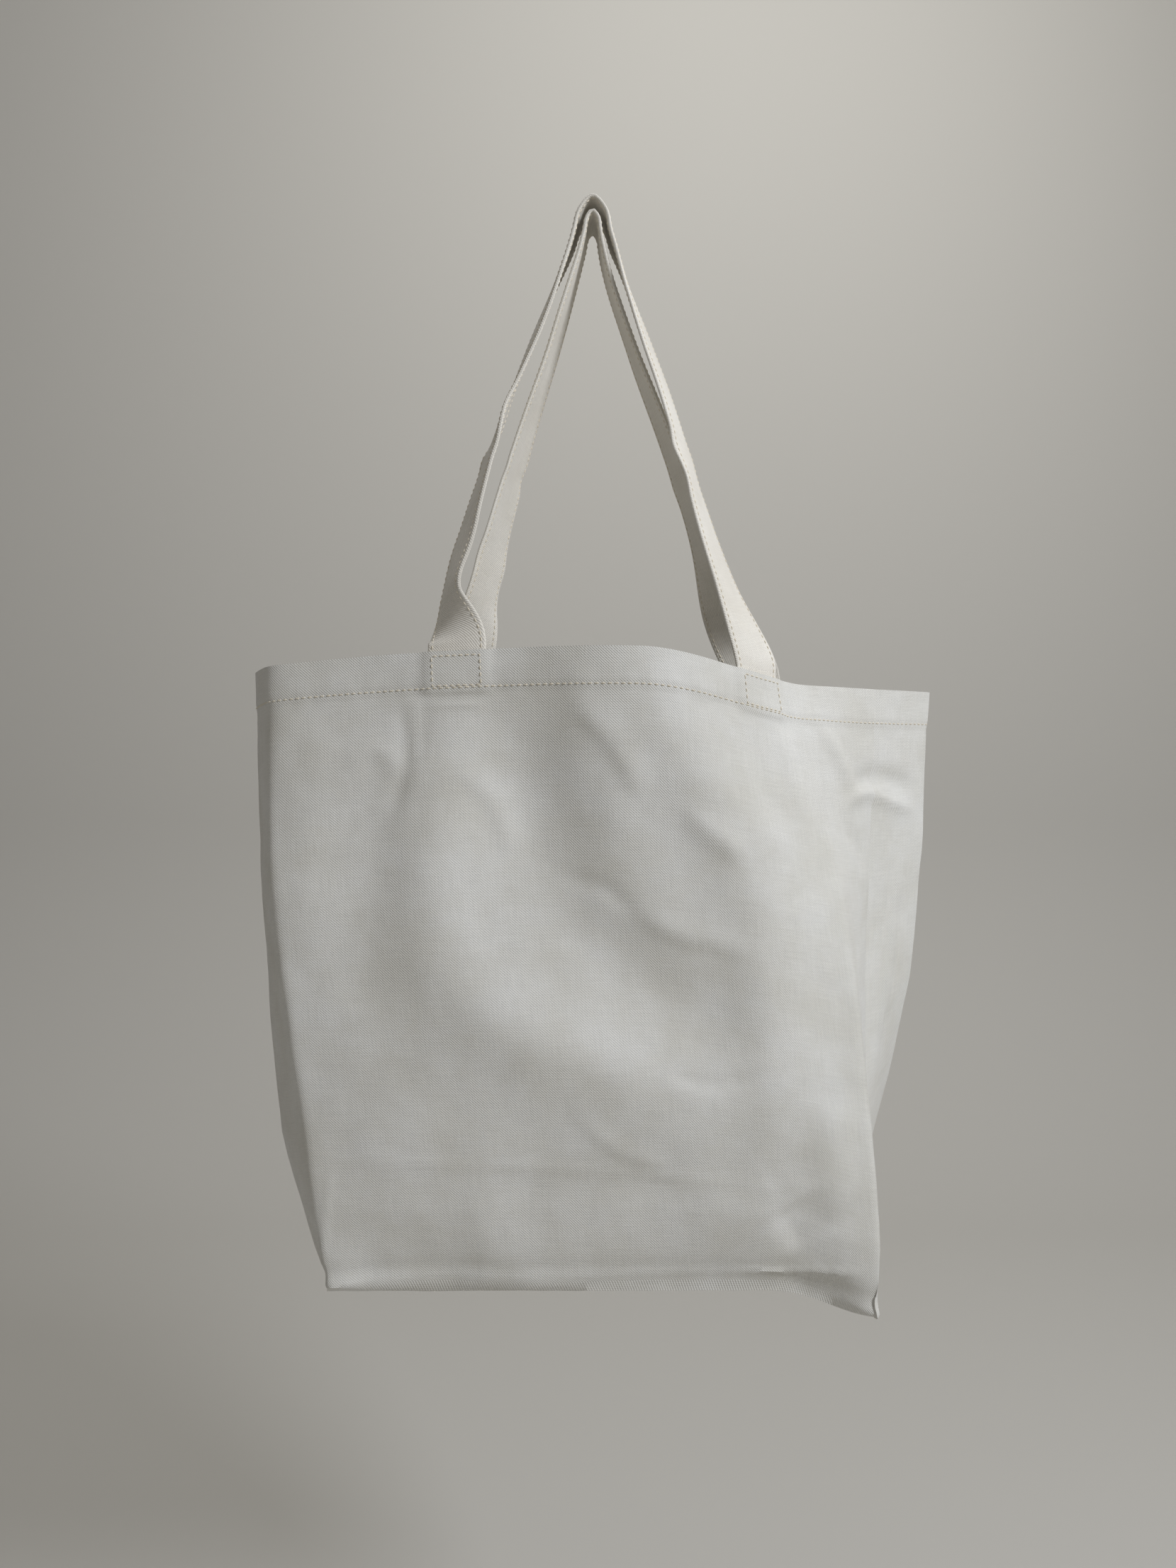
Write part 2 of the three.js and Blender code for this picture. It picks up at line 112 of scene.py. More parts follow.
def paper_sweep():
    profile = [(SWEEP_FRONT_Y, FLOOR_Z)]
    for i in range(SWEEP_STEPS + 1):
        turn = math.radians(90 * i / SWEEP_STEPS)
        profile.append((WALL_Y - SWEEP_RADIUS * (1 - math.sin(turn)),
                        FLOOR_Z + SWEEP_RADIUS * (1 - math.cos(turn))))
    profile.append((WALL_Y, SWEEP_TOP_Z))
    points = [(side * SWEEP_HALF_WIDTH, y, z) for y, z in profile for side in (-1, 1)]
    faces = [(2 * i, 2 * i + 1, 2 * i + 3, 2 * i + 2) for i in range(len(profile) - 1)]
    sweep = mesh_object("paper_sweep", points, faces)
    # Matt paper: an even pale grey with no shine, so that only the light varies over it.
    paper = bpy.data.materials.new("matt_paper")
    paper.use_nodes = True
    shader = paper.node_tree.nodes["Principled BSDF"]
    shader.inputs["Base Color"].default_value = linear(WALL_HEX)
    shader.inputs["Roughness"].default_value = 0.95
    sweep.data.materials.append(paper)


def area_light(name, place, target, size, power, hex_colour):
    light = bpy.data.lights.new(name, "AREA")
    light.shape = "DISK"
    light.size = size
    light.energy = power
    light.color = linear(hex_colour)[:3]
    lamp = bpy.data.objects.new(name, light)
    bpy.context.collection.objects.link(lamp)
    lamp.location = place
    lamp.rotation_euler = (Vector(target) - Vector(place)).to_track_quat("-Z", "Y").to_euler()


paper_sweep()
area_light("key_light", (1.0, -0.92, 0.42), (-0.04, 0.0, -0.36), 0.42, 15.5, "#f6f9ff")
area_light("wall_wash", (0.35, 0.3, 1.5), (0.0, 1.7, 0.3), 1.4, 17, "#fffefa")

world = bpy.data.worlds.new("dim_room")
bpy.context.scene.world = world
world.use_nodes = True
world.node_tree.nodes["Background"].inputs["Color"].default_value = linear("#e9e6e2")
world.node_tree.nodes["Background"].inputs["Strength"].default_value = 0.29
bpy.context.scene.view_settings.view_transform = "Standard"

# ---------------------------------------------------------------- Bag cloth
# The front and back panels: unbleached cotton twill canvas, cut and folded,
# each with its hem and its half of the base, sewn together inside out and turned.
# Each is a shell lofted through the sections in which the empty bag hangs, then creased.
CLOTH_MM = 0.9
LAYER_GAP_MM = 0.15
SHARP_EDGE_DEG = 50
HEM_MM = 20
HEM_ROW_MM = HEM_MM - 1.5
WALL_MM = 324
SIDE_SHARE = 0.13
PANEL_WIDTH_MM = 400
RIM_Z = -241
RIM_DROP_LEFT = 9
RIM_LEFT_REACH = 180
RIM_DROP_RIGHT = 15
RIM_RIGHT_FROM = 20
RIM_RIGHT_TO = 115
BASE_Z = -567
BASE_SAG = 16
BASE_MIDDLE_Y = -3
BASE_HALF_DEPTH = 52
RIGHT_DROP = 14
RIGHT_DROP_FROM = 95
RIGHT_DROP_TO = 153
BASE_EDGE_SHARE = 0.04
RIM_BAND_MM = 30
OUTLINE_STEPS = 160
FOLD_STEPS = 12
FOLD_FADE = 0.3
SEAM_MARGIN = 0.02
SIDE_COLUMNS = 14
FRONT_COLUMNS = 124
BACK_COLUMNS = 104
BASE_ROWS = 20

# Horizontal sections from the base edge up to the rim, in millimetres, x to the right, y to the back.
LEFT_SEAM = [(-146, -8), (-171, -12), (-179, -10), (-184, -10), (-186, -12)]
FRONT_LEFT = [(-138, -57), (-148, -57), (-160, -56), (-168, -50), (-170, -45)]
FRONT_RIGHT = [(153, -43), (147, -39), (140, -32), (128, -20), (115, -10)]
RIGHT_SEAM = [(151, 4), (152, 4), (153, 6), (157, 12), (162, 18)]
BACK_RIGHT = [(149, 50), (171, 45), (187, 38), (194, 37), (199, 39)]
BACK_LEFT = [(-146, 43), (-140, 24), (-128, 8), (-133, 3), (-136, 0)]
FRONT_MIDDLES = [
    [(-80, -54), (-92, -60), (-102, -59), (-111, -54), (-118, -51)],
    [(-22, -51), (-34, -58), (-44, -58), (-48, -57), (-55, -60)],
    [(36, -49), (26, -55), (18, -56), (20, -62), (15, -70)],
    [(95, -46), (88, -49), (80, -48), (82, -48), (76, -47)],
]
BACK_MIDDLES = [
    [(50, 50), (60, 48), (75, 41), (80, 38), (96, 41)],
    [(-50, 48), (-45, 44), (-30, 34), (-25, 26), (-15, 21)],
]

# Folds of the front, as [height in mm, half-width to the left, half-width to the right, (x, z) ...].
# A fold stands out of the cloth, or into it where its height is negative.
FRONT_FOLDS = [
    [6.0, 19, 27, (30, -236), (36, -277), (58, -312), (82, -362), (90, -424), (93, -473), (96, -515)],
    [-7.0, 28, 26, (-38, -250), (-30, -320), (-16, -372), (12, -402), (44, -424), (72, -440)],
    [5.0, 26, 22, (-75, -262), (-82, -326), (-76, -396), (-38, -438), (30, -464), (80, -482)],
    [-1.4, 22, 22, (-118, -285), (-114, -375), (-110, -450)],
    [1.6, 18, 20, (-143, -272), (-146, -350), (-140, -410)],
    [-4.0, 24, 24, (-60, -530), (10, -520), (60, -530)],
    [-4.0, 8, 24, (98, -528), (112, -552)],
    [3.0, 12, 12, (124, -470), (126, -540)],
    [1.1, 5, 7, (-70, -300), (-50, -322), (-40, -350)],
    [1.6, 5, 9, (-12, -268), (10, -290), (26, -318)],
    [1.8, 6, 6, (44, -322), (60, -336), (76, -348)],
    [1.6, 5, 8, (18, -372), (40, -386), (66, -392), (80, -398)],
    [-1.0, 4, 5, (-20, -358), (2, -362), (24, -378)],
    [1.0, 5, 5, (-130, -302), (-112, -292), (-96, -306)],
    [-1.2, 4, 5, (-104, -330), (-96, -300), (-98, -268)],
    [1.0, 4, 6, (-8, -480), (14, -498), (40, -508)],
    [-0.9, 3, 4, (36, -458), (60, -464), (84, -460)],
    [-1.0, 6, 6, (80, -280), (86, -310), (94, -332)],
    [1.4, 5, 6, (92, -272), (104, -305), (112, -330)],
]
# Sharp pressed creases, drawn the same way.
FRONT_CREASES = [
    [0.8, 1.6, 1.6, (-138, -500), (-70, -503), (0, -508), (62, -514), (118, -520)],
    [1.0, 1.8, 2.4, (-134, -505), (-137, -535), (-140, -562)],
    [-0.9, 1.6, 1.6, (-87, -262), (-87, -300)],
    [0.7, 1.5, 1.5, (-86, -271), (-70, -270), (-54, -270)],
]
# Folds of the right side, as (mm behind the front right fold, z).
RIGHT_FOLDS = [
    [2.6, 3.5, 3, (20, -322), (44, -315), (64, -319), (96, -326)],
    [-2.6, 4, 5, (30, -308), (60, -306), (92, -312)],
    [1.6, 4, 5, (6, -276), (22, -300), (36, -318)],
    [-1.6, 5, 5, (18, -334), (36, -345), (44, -362)],
    [1.5, 2.4, 3.4, (86, -346), (80, -380), (74, -430), (66, -470)],
    [-1.2, 6, 6, (60, -360), (58, -420), (56, -470)],
]
BACK_FOLDS = [
    [4.0, 24, 24, (-60, -270), (-50, -340), (-20, -410), (10, -470)],
    [-4.0, 22, 22, (10, -262), (20, -340), (40, -400), (80, -440)],
    [3.0, 16, 20, (110, -270), (120, -360), (118, -450)],
    [1.4, 5, 6, (-100, -300), (-70, -330), (-50, -372)],
    [-1.3, 5, 6, (60, -300), (84, -326), (96, -360)],
    [1.2, 5, 5, (-30, -480), (10, -500), (60, -505)],
    [0.8, 1.6, 1.6, (-130, -505), (0, -508), (130, -506)],
]


def smooth_through(points, places):
    """Points on a smooth curve through the given points, at places from 0 to 1."""
    given = np.asarray(points, float)
    spans = len(given) - 1
    padded = np.vstack([2 * given[0] - given[1], given, 2 * given[-1] - given[-2]])
    reach = np.linalg.norm(np.diff(padded[:, :3], axis=0), axis=1) ** 0.5
    reach = np.maximum(reach, 1e-4)
    at = np.clip(np.atleast_1d(places), 0, 1) * spans
    first = np.minimum(at.astype(int), spans - 1)
    part = (at - first)[:, None]
    a, b, c, d = (padded[first + k] for k in range(4))
    before, here, after = (reach[first + k][:, None] for k in range(3))
    leave = ((b - a) / before - (c - a) / (before + here) + (c - b) / here) * here
    reach_end = ((c - b) / here - (d - b) / (here + after) + (d - c) / after) * here
    return (b + part * leave + part ** 2 * (3 * (c - b) - 2 * leave - reach_end)
            + part ** 3 * (2 * (b - c) + leave + reach_end))


def run_along(points):
    """Distance along a line at each of its points, from 0 at the first."""
    steps = np.linalg.norm(np.diff(points[:, :3], axis=0), axis=1)
    return np.concatenate([[0], np.cumsum(steps)])


def evenly(points, count):
    """The same line with count + 1 points at equal distances along it."""
    run = run_along(points)
    wanted = np.linspace(0, run[-1], count + 1)
    return np.stack([np.interp(wanted, run, points[:, k]) for k in range(points.shape[1])], axis=1)


def smoothstep(x, low, high):
    t = np.clip((x - low) / (high - low), 0, 1)
    return t * t * (3 - 2 * t)


def bell(distance, reach):
    """1 at no distance, falling smoothly to about a third at the reach."""
    return np.exp(-(distance / reach) ** 2)


def base_z(x, y):
    across = np.clip((y - BASE_MIDDLE_Y) / BASE_HALF_DEPTH, -1, 1)
    drop = RIGHT_DROP * smoothstep(x, RIGHT_DROP_FROM, RIGHT_DROP_TO)
    return BASE_Z - BASE_SAG * (1 - across ** 2) - drop


def rim_z(x):
    left = RIM_DROP_LEFT * (np.minimum(x, 0) / RIM_LEFT_REACH) ** 2
    return RIM_Z - left - RIM_DROP_RIGHT * smoothstep(x, RIM_RIGHT_FROM, RIM_RIGHT_TO)


def section(height):
    """One closed outline of the bag, from the left seam along the front and round the back."""
    left_seam, front_left, front_right, right_seam, back_right, back_left = (
        smooth_through(levels, height)
        for levels in (LEFT_SEAM, FRONT_LEFT, FRONT_RIGHT, RIGHT_SEAM, BACK_RIGHT, BACK_LEFT))
    front = [front_left] + [smooth_through(m, height) for m in FRONT_MIDDLES] + [front_right]
    back = [back_right] + [smooth_through(m, height) for m in BACK_MIDDLES] + [back_left]
    fine = np.linspace(0, 1, OUTLINE_STEPS)
    sides = [
        evenly(np.vstack([left_seam, front_left]), SIDE_COLUMNS),
        evenly(smooth_through(np.vstack(front), fine), FRONT_COLUMNS),
        evenly(np.vstack([front_right, right_seam]), SIDE_COLUMNS),
        evenly(np.vstack([right_seam, back_right]), SIDE_COLUMNS),
        evenly(smooth_through(np.vstack(back), fine), BACK_COLUMNS),
        evenly(np.vstack([back_left, left_seam]), SIDE_COLUMNS),
    ]
    return np.vstack([side[:-1] for side in sides])


def panel_shares(face_columns):
    """The share of a panel's width at each column, from one seam up to the other."""
    return np.concatenate([
        np.linspace(0, SIDE_SHARE, SIDE_COLUMNS, endpoint=False),
        np.linspace(SIDE_SHARE, 1 - SIDE_SHARE, face_columns, endpoint=False),
        np.linspace(1 - SIDE_SHARE, 1, SIDE_COLUMNS, endpoint=False)])


def normals_of(grid):
    """Outward unit normals of a grid of points: rows rise, columns run round the bag."""
    along = np.roll(grid, -1, axis=1) - np.roll(grid, 1, axis=1)
    up = np.gradient(grid, axis=0)
    across = np.cross(along, up)
    return across / np.maximum(np.linalg.norm(across, axis=2, keepdims=True), 1e-9)


def fold_height(places, folds, sharp=False):
    """Total height in mm of the folds at each of an array of flat places."""
    total = np.zeros(places.shape[:-1])
    for height, left, right, *line in folds:
        line = np.asarray(line, float)
        if len(line) > 2:
            line = smooth_through(line, np.linspace(0, 1, FOLD_STEPS))
        nearest = np.full(total.shape, 1e9)
        side = np.zeros(total.shape)
        run = np.zeros(total.shape)
        length = run_along(line)
        for i in range(len(line) - 1):
            start, step = line[i], line[i + 1] - line[i]
            away = places - start
            part = np.clip((away @ step) / (step @ step), 0, 1)
            gap = away - part[..., None] * step
            distance = np.hypot(gap[..., 0], gap[..., 1])
            closer = distance < nearest
            nearest = np.where(closer, distance, nearest)
            side = np.where(closer, step[0] * away[..., 1] - step[1] * away[..., 0], side)
            run = np.where(closer, length[i] + part * (length[i + 1] - length[i]), run)
        # The line is drawn downwards or to the right, so a negative cross product is on its left.
        width = np.where(side < 0, left, right)
        fade = length[-1] * FOLD_FADE
        starts = smoothstep(run, -FOLD_FADE * fade, fade)
        ends = starts * smoothstep(length[-1] - run, -FOLD_FADE * fade, fade)
        shape = np.exp(-nearest / width) if sharp else bell(nearest, width)
        total += height * shape * ends
    return total


def rumple(points, size, seed):
    """Smooth noise, about -1 to 1, with features of a size in mm."""
    flat = points.reshape(-1, 3) / size
    offset = Vector((seed * 7.3, seed * 3.1, seed * 11.7))
    values = [noise.noise(Vector(p) + offset) for p in flat]
    return np.asarray(values).reshape(points.shape[:-1])


heights = np.concatenate([
    np.linspace(0, BASE_EDGE_SHARE, 7)[:-1],
    np.linspace(BASE_EDGE_SHARE, 1 - RIM_BAND_MM / WALL_MM, 104)[:-1],
    np.linspace(1 - RIM_BAND_MM / WALL_MM, 1, 25)])
front_shares = panel_shares(FRONT_COLUMNS)
back_shares = panel_shares(BACK_COLUMNS)
front_count = len(front_shares)
loop = np.zeros((len(heights), front_count + len(back_shares), 3))
for row, height in enumerate(heights):
    loop[row, :, :2] = section(height)

# The pressed folds are soft at the rim and sharper lower down, so the outline is eased more
# towards the rim, and hardly at all at the fold of the back's right side.
column = np.arange(loop.shape[1])
back_right_fold = front_count + SIDE_COLUMNS
soft_column = 1 - 0.9 * bell(column - back_right_fold, 9.0)
for rounds, share in ((2, np.ones(len(heights))), (10, smoothstep(heights, 0.72, 0.97))):
    for _ in range(rounds):
        eased = (np.roll(loop, 1, axis=1) + 2 * loop + np.roll(loop, -1, axis=1)) / 4
        loop += (eased - loop) * share[:, None, None] * soft_column[None, :, None]
lift = heights[:, None]
loop[..., 2] = base_z(loop[..., 0], loop[..., 1]) * (1 - lift) + rim_z(loop[..., 0]) * lift

outward = normals_of(loop)
shares = np.concatenate([front_shares, back_shares])
on_front = np.arange(loop.shape[1]) < front_count
below_rim = (1 - heights)[:, None] * WALL_MM

relief = np.zeros(loop.shape[:2])
view_plane = loop[..., [0, 2]]
clear_of_seam = smoothstep(np.minimum(shares, 1 - shares), SEAM_MARGIN, SIDE_SHARE)
facing = np.where(on_front, clear_of_seam, 0)[None, :]
front_creases = fold_height(view_plane, FRONT_CREASES, sharp=True)
relief += facing * (fold_height(view_plane, FRONT_FOLDS) + front_creases)
backing = np.where(on_front, 0, clear_of_seam)[None, :]
relief += backing * fold_height(view_plane, BACK_FOLDS)
behind_fold = np.where(on_front, shares - (1 - SIDE_SHARE), shares + SIDE_SHARE) * PANEL_WIDTH_MM
side_plane = np.stack([np.broadcast_to(behind_fold, relief.shape), loop[..., 2]], axis=-1)
near_right = np.where(on_front, shares > 0.6, shares < 0.4)
reach = smoothstep(behind_fold, 0, 6) * (1 - smoothstep(behind_fold, 100, 112)) * near_right
relief += reach[None, :] * fold_height(side_plane, RIGHT_FOLDS)

# Hem: one more layer inside makes the band stand proud, and its stitching puckers the cloth.
in_hem = smoothstep(-below_rim, -HEM_MM - 0.8, -HEM_MM + 0.8)
relief += CLOTH_MM * in_hem
from_row = below_rim - HEM_ROW_MM
pucker = 0.45 * rumple(loop * [1, 1, 0.2], 7.0, 3) - 0.5 * bell(from_row, 1.2)
relief += bell(from_row, 5.0) * pucker

# The sewn strap ends show through the hem as flat raised patches.
STRAP_MM = 30
SEWN_MM = 22
STRAP_PLACES = {"front": (0.374, 0.772), "back": (0.726, 0.358)}
PATCH_MM = {"front": 1.1, "back": 1.0}
for side, places in STRAP_PLACES.items():
    for place in places:
        from_middle = np.abs(shares - place) * PANEL_WIDTH_MM
        inside = (1 - smoothstep(from_middle, STRAP_MM / 2 - 1.5, STRAP_MM / 2 + 3.5))[None, :]
        patch = inside * (1 - smoothstep(below_rim, SEWN_MM - 2, SEWN_MM + 1.5))
        own_panel = on_front if side == "front" else ~on_front
        relief += PATCH_MM[side] * patch * own_panel[None, :]

# Side seams draw the cloth in, and the whole cloth is slightly rumpled.
seam_mm = np.minimum(shares, 1 - shares)[None, :] * PANEL_WIDTH_MM
relief -= 0.35 * bell(seam_mm, 1.5)
relief += 0.25 * bell(seam_mm - 6, 3.5)
relief += 0.9 * rumple(loop, 46, 1) + 0.35 * rumple(loop, 17, 2) + 0.10 * rumple(loop, 7, 5)

# The base edge is a pressed fold that stands a little proud of the wall.
edge_mm = (heights * WALL_MM)[:, None]
relief += 1.2 * bell(edge_mm, 2.5) - 0.8 * bell(edge_mm - 8, 4.0)
# Above the base edge the front tucks under, most at the right, where the base hangs lower than the edge.
front_x = loop[..., 0]
tuck_reach = 40 - 4 * smoothstep(front_x, 60, 140)
tuck_depth = (5.5 + 4.0 * bell(front_x + 76, 28) + 5.5 * smoothstep(front_x, -40, 70)
              - 6.0 * smoothstep(front_x, 112, 148) - 3.5 * (1 - smoothstep(front_x, -134, -112)))
tuck = tuck_depth * np.clip(1 - edge_mm / tuck_reach, 0, 1) ** 1.3
below_edge = np.clip(BASE_Z + 1 - loop[..., 2], 0, 20)
relief -= facing * (tuck + 0.5 * below_edge * (1 - smoothstep(front_x, 124, 146)))
ridge_reach = smoothstep(front_x, 60, 100) * (1 - smoothstep(front_x, 126, 146))
relief += facing * 1.5 * bell(loop[..., 2] - BASE_Z - 1.5, 1.7) * ridge_reach
cloth = loop + outward * relief[..., None]
cloth_normals = normals_of(cloth)


TWILL_MM = 1.0
CLOTH_MAP = "cloth"
SEED_HEX = "#8a7658"
# A colour mix's two colour inputs and its colour output
COLOUR_A = 6
COLOUR_B = 7
COLOUR_OUT = 2


def cloth_material(name, light_hex, dark_hex):
    """Unbleached cotton twill: matt, with diagonal ribs, thicker slubs and small dark seed flecks."""
    material = bpy.data.materials.new(name)
    material.use_nodes = True
    tree = material.node_tree
    shader = tree.nodes["Principled BSDF"]
    place = node(tree, "ShaderNodeUVMap", uv_map=CLOTH_MAP)
    mm = node(tree, "ShaderNodeMapping", {"Vector": place.outputs["UV"], "Scale": (1000, 1000, 1000)})
    split = node(tree, "ShaderNodeSeparateXYZ", {"Vector": mm.outputs["Vector"]})
    # Ribs run down to the right: one every TWILL_MM, measured across them.
    falling = node(tree, "ShaderNodeMath", {0: split.outputs["X"], 1: split.outputs["Y"]}, operation="ADD")
    ribs = node(tree, "ShaderNodeMath", {0: falling.outputs[0], 1: 2 * math.pi / (TWILL_MM * math.sqrt(2))},
                operation="MULTIPLY")
    rib = node(tree, "ShaderNodeMath", {0: ribs.outputs[0]}, operation="SINE")
    # Weft threads cross the ribs at half their spacing.
    picks = node(tree, "ShaderNodeMath", {0: split.outputs["Y"], 1: 2 * math.pi / (TWILL_MM * 0.5)},
                 operation="MULTIPLY")
    pick = node(tree, "ShaderNodeMath", {0: picks.outputs[0]}, operation="SINE")
    weave = node(tree, "ShaderNodeMath", {0: pick.outputs[0], 1: 0.35, 2: rib.outputs[0]},
                 operation="MULTIPLY_ADD")
    # Slubs are threads 20 mm long and half a millimetre thick.
    slub_place = node(tree, "ShaderNodeMapping", {"Vector": mm.outputs["Vector"], "Scale": (0.05, 1.6, 1)})
    slub = node(tree, "ShaderNodeTexNoise", {"Vector": slub_place.outputs["Vector"]},
                Scale=1.0, Detail=3.0, Roughness=0.6)
    end_place = node(tree, "ShaderNodeMapping", {"Vector": mm.outputs["Vector"], "Scale": (1.6, 0.06, 1)})
    warp_slub = node(tree, "ShaderNodeTexNoise", {"Vector": end_place.outputs["Vector"]},
                     Scale=1.0, Detail=3.0, Roughness=0.6)
    slubs = node(tree, "ShaderNodeMath", {0: slub.outputs["Fac"], 1: warp_slub.outputs["Fac"]},
                 operation="ADD")
    cloud = node(tree, "ShaderNodeTexNoise", {"Vector": mm.outputs["Vector"]},
                 Scale=0.022, Detail=4.0, Roughness=0.6)
    fleck = node(tree, "ShaderNodeTexNoise", {"Vector": mm.outputs["Vector"]}, Scale=0.75, Detail=2.0)
    specks = node(tree, "ShaderNodeMapRange", {"Value": fleck.outputs["Fac"]}, From_Min=0.73, From_Max=0.80,
                  To_Min=0.0, To_Max=0.35)
    shade = node(tree, "ShaderNodeMapRange", {"Value": cloud.outputs["Fac"]}, From_Min=0.35, From_Max=0.65)
    tint = node(tree, "ShaderNodeMix", {0: shade.outputs["Result"], COLOUR_A: linear(dark_hex),
                                        COLOUR_B: linear(light_hex)}, data_type="RGBA")
    threads = node(tree, "ShaderNodeMapRange", {"Value": slubs.outputs[0]}, From_Min=0.75, From_Max=1.25,
                   To_Min=0.94, To_Max=1.04)
    grooves = node(tree, "ShaderNodeMapRange", {"Value": weave.outputs[0]}, From_Min=-1.35, From_Max=1.35,
                   To_Min=0.88, To_Max=1.04)
    both = node(tree, "ShaderNodeMath", {0: threads.outputs["Result"], 1: grooves.outputs["Result"]},
                operation="MULTIPLY")
    value = node(tree, "ShaderNodeCombineXYZ", dict.fromkeys("XYZ", both.outputs[0]))
    woven = node(tree, "ShaderNodeMix", {0: 1.0, COLOUR_A: tint.outputs[COLOUR_OUT],
                                         COLOUR_B: value.outputs[0]},
                 data_type="RGBA", blend_type="MULTIPLY")
    seeded = node(tree, "ShaderNodeMix", {0: specks.outputs["Result"], COLOUR_A: woven.outputs[COLOUR_OUT],
                                          COLOUR_B: linear(SEED_HEX)}, data_type="RGBA")
    tree.links.new(seeded.outputs[COLOUR_OUT], shader.inputs["Base Color"])
    relief_sum = node(tree, "ShaderNodeMath", {0: slubs.outputs[0], 1: 1.6, 2: weave.outputs[0]},
                      operation="MULTIPLY_ADD")
    bump = node(tree, "ShaderNodeBump", {"Height": relief_sum.outputs[0]}, Strength=0.55, Distance=0.00012)
    tree.links.new(bump.outputs["Normal"], shader.inputs["Normal"])
    shader.inputs["Roughness"].default_value = 0.93
    shader.inputs["Specular IOR Level"].default_value = 0.25
    shader.inputs["Sheen Weight"].default_value = 0.18
    shader.inputs["Sheen Roughness"].default_value = 0.5
    return material


def grid_faces(rows, columns):
    faces = []
    for r in range(rows - 1):
        for c in range(columns - 1):
            a = r * columns + c
            faces.append((a, a + 1, a + columns + 1, a + columns))
    return faces


def add_uv(piece, places):
    """Gives a mesh a map of its cloth, in metres, from one flat place for each point."""
    layer = piece.data.uv_layers.new(name=CLOTH_MAP)
    corners = np.zeros(len(piece.data.loops), int)
    piece.data.loops.foreach_get("vertex_index", corners)
    layer.data.foreach_set("uv", (np.asarray(places)[corners] * MM).ravel())


def thicken(piece):
    """Gives a sheet the cloth's thickness inwards, with the modifier applied."""
    modifier = piece.modifiers.new("thickness", "SOLIDIFY")
    modifier.thickness = CLOTH_MM * MM
    modifier.offset = -1.0
    modifier.use_even_offset = False
    shown = piece.evaluated_get(bpy.context.evaluated_depsgraph_get())
    done = bpy.data.meshes.new_from_object(shown)
    piece.modifiers.clear()
    piece.data = done
    done.set_sharp_from_angle(angle=math.radians(SHARP_EDGE_DEG))


# Unbleached twill: off-white and matt, with faint ribs, slubs and a few brown seed flecks.
canvas = cloth_material("cotton_twill_canvas", "#e8e7e2", "#dedcd4")


def join_into(piece, other):
    both = [piece, other]
    with bpy.context.temp_override(active_object=piece, object=piece, selected_objects=both,
                                   selected_editable_objects=both):
        bpy.ops.object.join()


def panel_columns(side):
    """The columns of one panel from seam to seam, and the share of its width at each."""
    if side == "front":
        columns = np.r_[0:front_count + 1]
    else:
        columns = np.r_[front_count:loop.shape[1], 0]
    return columns, np.append(shares[columns[:-1]], 1.0)


def panel_piece(side):
    """One panel with its wall, its half of the base and the turned-in layer of its hem."""
    columns, shares_here = panel_columns(side)
    face_from = SIDE_COLUMNS
    face_to = len(columns) - 1 - SIDE_COLUMNS
    wall = cloth[:, columns]
    wall_normals = cloth_normals[:, columns]
    flat = np.stack(np.meshgrid(shares_here * PANEL_WIDTH_MM, heights * WALL_MM), axis=-1)
    rows, width = wall.shape[:2]
    points = [wall.reshape(-1, 3)]
    places = [flat.reshape(-1, 2)]
    faces = grid_faces(rows, width)
    # Base: from the wall's lower edge in to the seam along the middle.
    edge = wall[0, face_from:face_to + 1]
    ends = wall[0, 0], wall[0, -1]
    along = np.linspace(0, 1, len(edge))[:, None]
    middle = ends[0] * (1 - along) + ends[1] * along
    base_across = np.interp(along[:, 0], [0, 1], [BASE_HALF_DEPTH, PANEL_WIDTH_MM - BASE_HALF_DEPTH])
    previous = [face_from + i for i in range(len(edge))]
    count = rows * width
    for step in range(1, BASE_ROWS + 1):
        across = step / BASE_ROWS
        strip = edge * (1 - across) + middle * across
        strip[:, 2] = base_z(strip[:, 0], strip[:, 1])
        rough = np.sin(math.pi * across) ** 0.5
        strip[:, 2] += rough * (0.9 * rumple(strip, 30, 6) + 0.4 * rumple(strip, 12, 7))
        strip[:, 2] += 0.7 * bell((1 - across) * BASE_HALF_DEPTH, 1.4)
        points.append(strip)
        base_down = np.full(len(edge), -BASE_HALF_DEPTH * across)
        places.append(np.stack([base_across, base_down], axis=-1))
        current = [count + i for i in range(len(edge))]
        for i in range(len(edge) - 1):
            faces.append((previous[i], current[i], current[i + 1], previous[i + 1]))
        previous = current
        count += len(edge)
    piece = mesh_object(f"{side}_panel_cloth", np.vstack(points) * MM, faces)
    add_uv(piece, np.vstack(places))
    thicken(piece)
    # The turned-in layer stops just short of the hem's lower edge.
    hem_rows = np.nonzero(heights > 1 - (HEM_MM - 0.6) / WALL_MM)[0]
    inner = wall[hem_rows] - wall_normals[hem_rows] * (CLOTH_MM + LAYER_GAP_MM)
    layer = mesh_object("hem_layer", inner.reshape(-1, 3) * MM, grid_faces(len(hem_rows), width))
    add_uv(layer, flat[hem_rows].reshape(-1, 2))
    thicken(layer)
    join_into(piece, layer)
    piece.data.materials.append(canvas)
    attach(piece, "bag")
    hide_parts(f"{side}_panel")
    return piece


front_cloth = panel_piece("front")
back_cloth = panel_piece("back")

# ---------------------------------------------------------------- Stitching
# Natural cotton lockstitch: the hem's row round the mouth, and a rectangle on each strap end.
# Each stitch is its own short dipped thread, lying in the cloth.
STITCH_MM = 2.7
STITCH_GAP_MM = 0.6
THREAD_MM = 0.32
STITCH_RINGS = 5
STITCH_SIDES = 6
